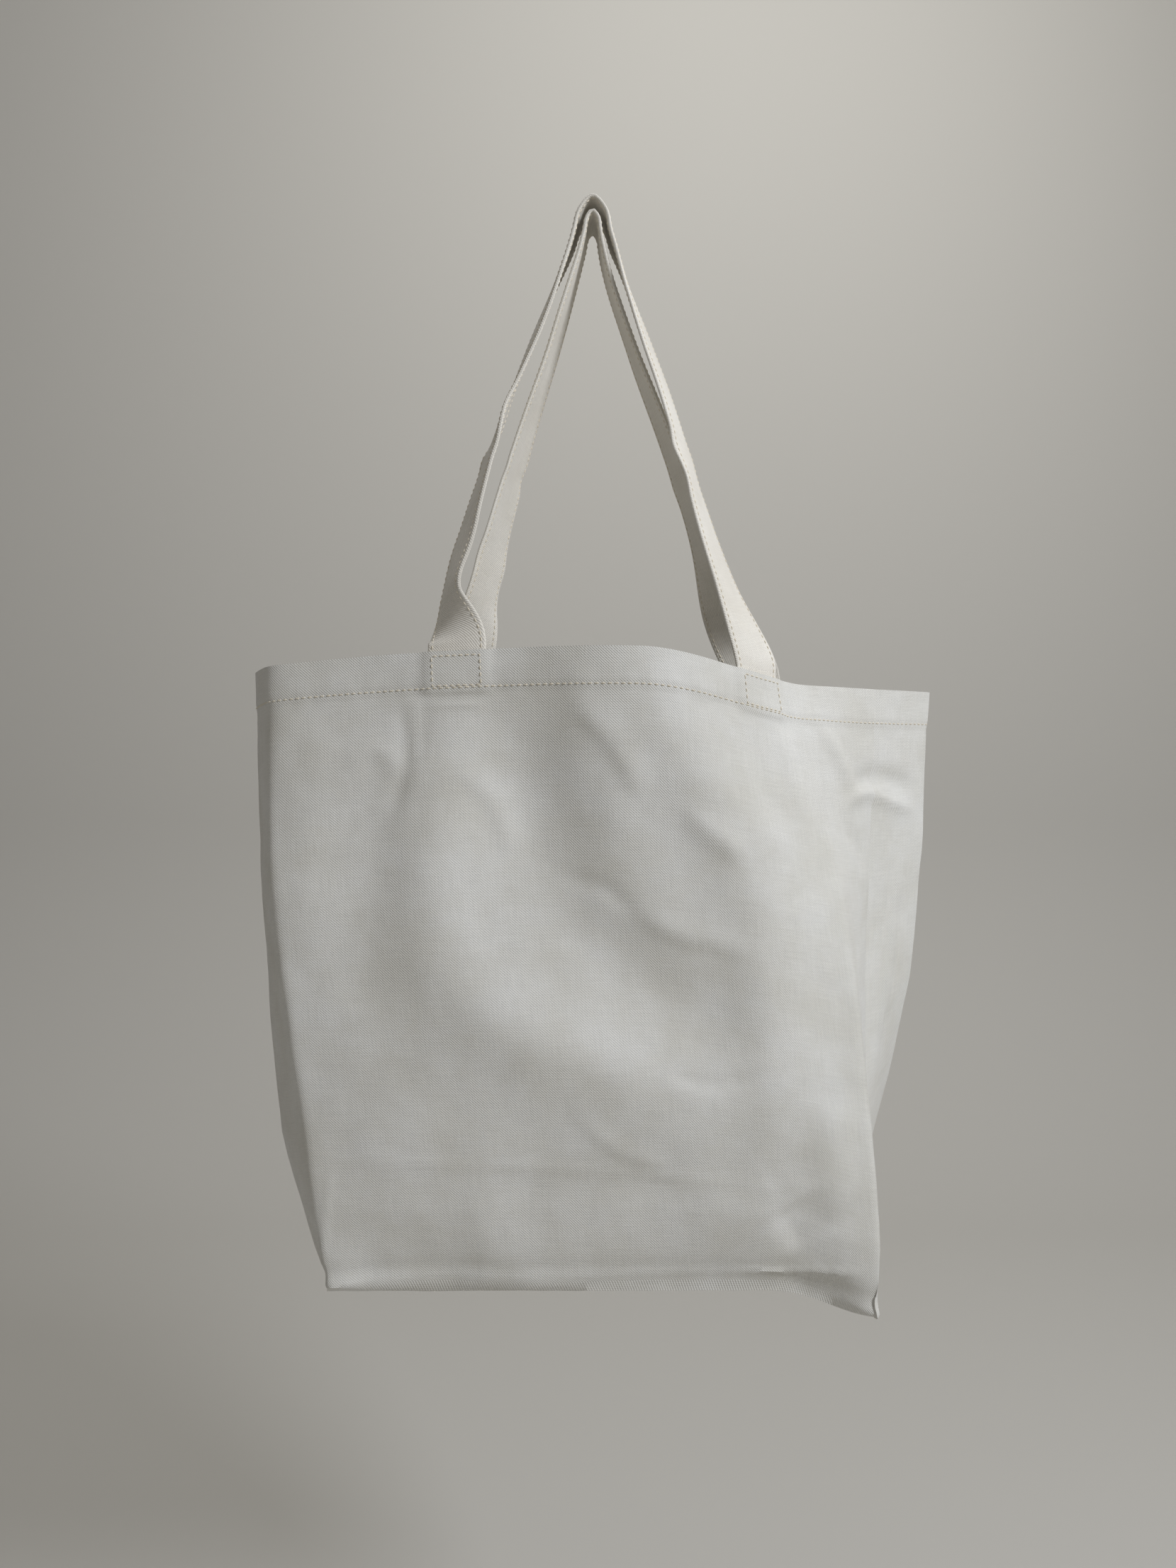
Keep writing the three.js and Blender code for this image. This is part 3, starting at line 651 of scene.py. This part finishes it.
# Each stitch dips into the cloth and thins at both ends.
STITCH_DIP = np.array([-0.35, 0.12, 0.24, 0.12, -0.35])
STITCH_WIDE = THREAD_MM * np.array([0.55, 0.95, 1.0, 0.95, 0.55])

# Cotton thread: a little creamier and smoother than the cloth, and uneven in colour.
thread = bpy.data.materials.new("cotton_sewing_thread")
thread.use_nodes = True
thread_tree = thread.node_tree
thread_shader = thread_tree.nodes["Principled BSDF"]
thread_spot = node(thread_tree, "ShaderNodeTexCoord")
thread_noise = node(thread_tree, "ShaderNodeTexNoise", {"Vector": thread_spot.outputs["Object"]},
                    Scale=900.0, Detail=2.0)
thread_tint = node(thread_tree, "ShaderNodeMix", {0: thread_noise.outputs["Fac"], COLOUR_A: linear("#d3c8b2"),
                                                  COLOUR_B: linear("#efe8d8")}, data_type="RGBA")
thread_tree.links.new(thread_tint.outputs[COLOUR_OUT], thread_shader.inputs["Base Color"])
thread_shader.inputs["Roughness"].default_value = 0.7
thread_shader.inputs["Sheen Weight"].default_value = 0.15


def stitch_mesh(name, lines):
    """One mesh of stitches along lines, each a pair of arrays: points in mm and unit normals."""
    rings = STITCH_RINGS
    around = STITCH_SIDES
    turn = np.arange(around) * 2 * math.pi / around
    points = []
    faces = []
    for line, normals in lines:
        run = run_along(line)
        count = max(int(run[-1] // (STITCH_MM + STITCH_GAP_MM)), 1)
        pitch = run[-1] / count
        for i in range(count):
            t = (i * pitch + STITCH_GAP_MM / 2) + np.linspace(0, pitch - STITCH_GAP_MM, rings)
            centre = np.stack([np.interp(t, run, line[:, k]) for k in range(3)], axis=1)
            up = np.stack([np.interp(t, run, normals[:, k]) for k in range(3)], axis=1)
            up /= np.linalg.norm(up, axis=1, keepdims=True)
            ahead = centre[-1] - centre[0]
            ahead /= np.linalg.norm(ahead)
            beside = np.cross(up, ahead)
            first = len(points) * around
            for r in range(rings):
                points.append(centre[r] + up[r] * STITCH_DIP[r]
                              + np.outer(np.cos(turn), beside[r]) * STITCH_WIDE[r]
                              + np.outer(np.sin(turn), up[r]) * STITCH_WIDE[r])
            for r in range(rings - 1):
                for k in range(around):
                    a = first + r * around + k
                    b = first + r * around + (k + 1) % around
                    faces.append((a, b, b + around, a + around))
            faces.append(tuple(first + k for k in reversed(range(around))))
            faces.append(tuple(first + (rings - 1) * around + k for k in range(around)))
    piece = mesh_object(name, np.vstack(points) * MM, faces)
    piece.data.materials.append(thread)
    return piece


def on_cloth(side, share, mm_below_rim, lift_mm=0.0):
    """A point and normal on the outer face of a panel, between its columns and rows."""
    columns, own = panel_columns(side)
    c = np.interp(share, own, np.arange(len(own)))
    r = np.interp(1 - mm_below_rim / WALL_MM, heights, np.arange(len(heights)))
    c0 = min(int(c), len(own) - 2)
    r0 = min(int(r), len(heights) - 2)
    fc = c - c0
    fr = r - r0
    found = []
    for table in (cloth, cloth_normals):
        block = table[r0:r0 + 2][:, columns[[c0, c0 + 1]]]
        found.append((block[0, 0] * (1 - fc) + block[0, 1] * fc) * (1 - fr)
                     + (block[1, 0] * (1 - fc) + block[1, 1] * fc) * fr)
    normal = found[1] / np.linalg.norm(found[1])
    return found[0] + normal * lift_mm, normal


def cloth_line(side, corners, spacing=2.0, lift_mm=0.0):
    """A line over the cloth through corners given as (share, mm below the rim)."""
    points = []
    normals = []
    for (s0, b0), (s1, b1) in zip(corners, corners[1:]):
        length = math.hypot((s1 - s0) * PANEL_WIDTH_MM, b1 - b0)
        for t in np.linspace(0, 1, max(int(length / spacing), 2), endpoint=False):
            point, normal = on_cloth(side, s0 + (s1 - s0) * t, b0 + (b1 - b0) * t, lift_mm)
            points.append(point)
            normals.append(normal)
    point, normal = on_cloth(side, *corners[-1], lift_mm)
    return np.array(points + [point]), np.array(normals + [normal])


hem_row = [(0.0, HEM_ROW_MM), (1.0, HEM_ROW_MM)]
hem_lines = []
for side in ("front", "back"):
    hem_lines.append(cloth_line(side, hem_row))
    inner_points, inner_normals = cloth_line(side, hem_row, lift_mm=-2 * CLOTH_MM - LAYER_GAP_MM)
    hem_lines.append((inner_points, -inner_normals))
hem_thread = stitch_mesh("hem_stitches", hem_lines)
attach(hem_thread, "bag")
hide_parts("hem_stitching")

BOX_TOP_MM = 2.5
BOX_BOTTOM_MM = 17.5
BOX_HALF_SHARE = (STRAP_MM / 2 - 3) / PANEL_WIDTH_MM
for side, places in STRAP_PLACES.items():
    for hand, place in zip(("left", "right"), places):
        low = place - BOX_HALF_SHARE
        high = place + BOX_HALF_SHARE
        box = [(low, BOX_TOP_MM), (high, BOX_TOP_MM), (high, BOX_BOTTOM_MM),
               (low, BOX_BOTTOM_MM), (low, BOX_TOP_MM)]
        stitches = stitch_mesh(f"{side}_{hand}_box_stitches", [cloth_line(side, box, 1.0)])
        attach(stitches, "bag")
        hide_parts(f"{side}_handle_{hand}_stitching")

# ---------------------------------------------------------------- Inside seams
# The joined cloth edges, overlocked: a doubled strip of canvas with thread looped over its edge.
SEAM_DEPTH_MM = 8.0
SEAM_HALF_MM = 1.1

# Raw canvas edges: the same twill, a little creamier than the face of the bag.
overlock = cloth_material("overlocked_canvas_edge", "#e6dfcf", "#d6ccb8")


def seam_strip(name, roots, inward, beside, node_name):
    """A strip that stands inward from a line, with a wavy free edge and thread over it."""
    count = len(roots)
    step = np.arange(count)[:, None]
    wave = np.sin(step * 0.9) * 0.5 + np.sin(step * 0.37) * 0.8
    profile = [(0, -1), (0.35, -1), (0.7, -1), (0.95, -1), (1.03, 0), (0.95, 1), (0.7, 1), (0.35, 1), (0, 1)]
    rows = [roots + inward * (depth * SEAM_DEPTH_MM) + beside * (side * SEAM_HALF_MM + wave * depth)
            for depth, side in profile]
    grid = np.stack(rows, axis=0)
    size = len(profile)
    faces = grid_faces(size, count)
    last = (size - 1) * count
    faces += [(a, a + 1, last + a + 1, last + a)[::-1] for a in range(count - 1)]
    faces.append(tuple(r * count for r in range(size))[::-1])
    faces.append(tuple(r * count + count - 1 for r in range(size)))
    piece = mesh_object(name, grid.reshape(-1, 3) * MM, faces)
    along = run_along(roots)
    across = np.array([depth * SEAM_DEPTH_MM * (1 if side < 0 else 1.4) for depth, side in profile])
    add_uv(piece, np.stack(np.meshgrid(along, across), axis=-1).reshape(-1, 2))
    piece.data.materials.append(overlock)
    loops = []
    for i in range(2, count - 2):
        line = grid[[2, 3, 4, 5, 6], i]
        line = line + np.gradient(roots, axis=0)[i] * np.linspace(-0.5, 0.5, 5)[:, None]
        normals = np.stack([-beside[i], -beside[i], inward[i], beside[i], beside[i]])
        loops.append((line, normals))
    over = stitch_mesh(f"{name}_overlock", loops)
    piece.data.materials.append(thread)
    join_into(piece, over)
    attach(piece, "bag")
    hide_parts(node_name)
    return piece


def side_seam(hand):
    share = 0.0 if hand == "left" else 1.0
    below = np.linspace(WALL_MM - 14, HEM_MM + 1, 100)
    found = [on_cloth("front", share, b) for b in below]
    normals = np.array([n for _, n in found])
    points = np.array([p for p, _ in found]) - normals * (CLOTH_MM + 0.2)
    upward = np.gradient(points, axis=0)
    beside = np.cross(normals, upward)
    beside /= np.linalg.norm(beside, axis=1, keepdims=True)
    return seam_strip(f"{hand}_side_seam_edge", points, -normals, beside, f"{hand}_side_seam")


def base_seam():
    ends = cloth[0, 0], cloth[0, front_count]
    t = np.linspace(0.05, 0.95, 90)[:, None]
    points = ends[0] * (1 - t) + ends[1] * t
    points[:, 2] = base_z(points[:, 0], points[:, 1]) + CLOTH_MM + 1.2
    inward = np.tile([0.0, 0.25, 0.97], (len(t), 1))
    beside = np.tile([0.0, 0.97, -0.25], (len(t), 1))
    return seam_strip("base_seam_edge", points, inward, beside, "base_seam")


def corner_seam(hand):
    """The seam that squares a corner of the base, across its end."""
    sign = 1 if hand == "left" else -1
    middle = 0 if hand == "left" else front_count
    around = np.arange(middle - SIDE_COLUMNS + 2, middle + SIDE_COLUMNS - 1) % loop.shape[1]
    edge = evenly(cloth[0, around], 36)
    edge[:, 0] += sign * (CLOTH_MM + 0.8)
    edge[:, 2] += CLOTH_MM + 0.8
    half = math.sqrt(0.5)
    inward = np.tile([sign * half, 0.0, half], (len(edge), 1))
    beside = np.tile([-sign * half, 0.0, half], (len(edge), 1))
    return seam_strip(f"{hand}_corner_seam_edge", edge, inward, beside, f"{hand}_corner_seam")


side_seam("left")
side_seam("right")
base_seam()
corner_seam("left")
corner_seam("right")

# ---------------------------------------------------------------- Handles
# Each handle is one flat strap of folded canvas, top-stitched along both edges,
# with both ends sewn inside the hem; it turns edge-on to pass over the peg.
STRAP_THICK_MM = 2.2
STRAP_ROWS = 230
STRAP_STEPS = 1500
CUP_MM = 0.8
SWAY_MM = 0.7
BACK_FACE_MM = 40
FRONT_HANDLE_PATH = [
    (-75, -50, -214, 25), (-66, -41, -175, 19), (-57.5, -33, -143, 15), (-49, -27, -116, 10),
    (-41.5, -21, -93, 12), (-32, -15, -66, 13), (-22, -9, -39, 10), (-14.6, -5, -19, 5), (-11.2, -3.5, -9, 2),
    (-7.6, -3, 2.2, 0), (-0.5, -3, 9.4, 0), (6.6, -3, 2.2, 0), (9.8, -3.5, -9, 2), (13.2, -5, -19, 5),
    (19.4, -8, -39, 10), (30.5, -14, -72, 14), (40, -20, -101, 17), (50.5, -26, -138, 20),
    (62, -31, -180, 22), (71, -35, -208, 27),
]
BACK_HANDLE_PATH = [
    (-64, 1, -213, -36), (-55, 4, -175, -19), (-45.5, 6, -138, -14), (-35.4, 5, -104, -11),
    (-22.6, 2.5, -66, -6), (-12, -1.5, -34, -2), (-7.2, -3, -18, 0), (-5, -3, -9, 0), (-3.6, -3, -2.2, 0),
    (-0.5, -3, 1.4, 0), (2.6, -3, -2.2, 0), (3.7, -3, -9, 0), (5.3, -3, -18, 0), (9.6, -2, -34, 0),
    (22.6, 2.5, -68, -2), (41.5, 8, -115, -5), (60, 12, -170, -14), (73, 17, -208, -40),
]
ROOT_ABOVE_RIM_MM = 6
# Soft kinks in each leg, as (leg, z, push out of the face at the front edge, push at the back edge, reach).
STRAP_KINKS = {
    "front": [(-1, -114, 1.2, -0.5, 9), (-1, -134, -0.6, 1.8, 6), (-1, -192, -1.2, 0.8, 12),
              (1, -132, -1.3, 0.6, 7), (1, -150, 0.9, -0.5, 8)],
    "back": [(-1, -136, -0.4, 1.6, 5), (-1, -186, 0.7, -1.4, 9), (1, -140, 0.8, -0.6, 8)],
}

# Folded canvas: the same twill, painted paler and creamier than the bag's cloth, standing in for the warm
# bounce light and bright key light on the straps.
strap_canvas_painted_warm_light = cloth_material("folded_canvas_strap", "#efebe2", "#e6e1d6")


def strap_stop(side, place, mm_below_rim):
    """The strap's middle inside the hem, and its turn out of edge-on."""
    depth = 2 * CLOTH_MM + 0.6 + STRAP_THICK_MM / 2
    half = STRAP_MM / 2 / PANEL_WIDTH_MM
    below = max(mm_below_rim, 0)
    ends = [on_cloth(side, place + k * half, below) for k in (-1, 0, 1)]
    points = [p - n * depth for p, n in ends]
    along = points[2] - points[0]
    turn = math.degrees(math.atan2(abs(along[0]), abs(along[1])))
    middle = (points[0] + points[2]) / 2 * 0.5 + points[1] * 0.5
    middle[2] += below - mm_below_rim
    return (*middle, turn if side == "front" else -turn)


def strap_line(side, path):
    """The strap's middle and its turn at equal steps from end to end, and its length."""
    left, right = STRAP_PLACES[side]
    downs = (SEWN_MM, SEWN_MM * 0.5, 0, -ROOT_ABOVE_RIM_MM)
    stops = [strap_stop(side, left, d) for d in downs] + list(path)
    stops += [strap_stop(side, right, d) for d in reversed(downs)]
    fine = smooth_through(stops, np.linspace(0, 1, STRAP_STEPS))
    return evenly(fine, STRAP_ROWS), run_along(fine)[-1]


def strap_piece(side, path):
    line, length = strap_line(side, path)
    centre = line[:, :3]
    turn = np.radians(line[:, 3])
    along = np.gradient(centre, axis=0)
    along /= np.linalg.norm(along, axis=1, keepdims=True)
    back = np.array([0.0, -1.0, 0.0])
    edge = back - along * (along @ back)[:, None]
    edge /= np.linalg.norm(edge, axis=1, keepdims=True)
    outer = np.cross(edge, along)
    width = edge * np.cos(turn)[:, None] - outer * np.sin(turn)[:, None]
    face = np.cross(width, along)
    run = np.linspace(0, length, len(centre))
    # Section: flat faces with soft pressed edges, thinner in the middle of the stitched margins.
    half = STRAP_MM / 2
    thick = STRAP_THICK_MM / 2
    across = np.array([-1, -0.985, -0.93, -0.84, -0.77, -0.6, -0.3, 0, 0.3, 0.6, 0.77, 0.84, 0.93, 0.985, 1])
    swell = np.array([0.25, 0.62, 0.9, 0.8, 0.92, 1, 1, 1, 1, 1, 0.92, 0.8, 0.9, 0.62, 0.25])
    free = smoothstep(run, SEWN_MM, SEWN_MM + 25) * smoothstep(length - run, SEWN_MM, SEWN_MM + 25)
    free = free * smoothstep(-centre[:, 2], 24, 80)
    # The cup and sway of the two straps differ only in where along them they start.
    shift = 0 if side == "front" else 2
    cup = CUP_MM * free * (1 + 0.6 * np.sin(run / 31 + shift))
    sway = SWAY_MM * free * np.sin(run / 23 + 1 + shift)
    kink_front = np.zeros(len(centre))
    kink_back = np.zeros(len(centre))
    for leg, level, at_front, at_back, spread in STRAP_KINKS[side]:
        near = bell(centre[:, 2] - level, spread) * (np.sign(centre[:, 0]) == leg)
        kink_front += at_front * near
        kink_back += at_back * near
    rows = []
    for i in range(len(centre)):
        bend = -cup[i] * across ** 2 + sway[i] * across * 0.6
        bend += kink_front[i] * np.clip(across, 0, 1) ** 2
        bend += kink_back[i] * np.clip(-across, 0, 1) ** 2
        middle = centre[i] + np.outer(across * half, width[i])
        top = middle + np.outer(swell * thick + bend, face[i])
        low = middle + np.outer(-swell * thick + bend, face[i])
        rows.append(np.vstack([top, low[::-1]]))
    grid = np.stack(rows)
    size = grid.shape[1]
    faces = []
    for r in range(len(rows) - 1):
        for c in range(size):
            a = r * size + c
            b = r * size + (c + 1) % size
            faces.append((a, b, b + size, a + size))
    faces.append(tuple(range(size))[::-1])
    last = (len(rows) - 1) * size
    faces.append(tuple(last + k for k in range(size)))
    piece = mesh_object(f"{side}_handle_strap", grid.reshape(-1, 3) * MM, faces)
    rounds = np.concatenate([across * half, BACK_FACE_MM + across[::-1] * half])
    flat = np.stack([np.broadcast_to(rounds, (len(rows), size)),
                     np.broadcast_to(run[:, None], (len(rows), size))], axis=-1)
    add_uv(piece, flat.reshape(-1, 2))
    piece.data.materials.append(strap_canvas_painted_warm_light)
    piece.data.materials.append(thread)
    # Top stitching, 2.4 mm in from each edge, on both faces.
    count = len(across)
    lines = []
    for column, normal_sign in ((3, 1), (count - 4, 1), (size - 4, -1), (count + 3, -1)):
        lines.append((grid[2:-2, column], face[2:-2] * normal_sign))
    seams = stitch_mesh(f"{side}_strap_stitches", lines)
    join_into(piece, seams)
    parts = ("left_end", "left_leg", "top", "right_leg", "right_end")
    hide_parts(*[f"{side}_handle_{part}" for part in parts])
    return piece, length


front_strap, front_length = strap_piece("front", FRONT_HANDLE_PATH)
back_strap, back_length = strap_piece("back", BACK_HANDLE_PATH)
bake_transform(front_strap)
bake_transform(back_strap)
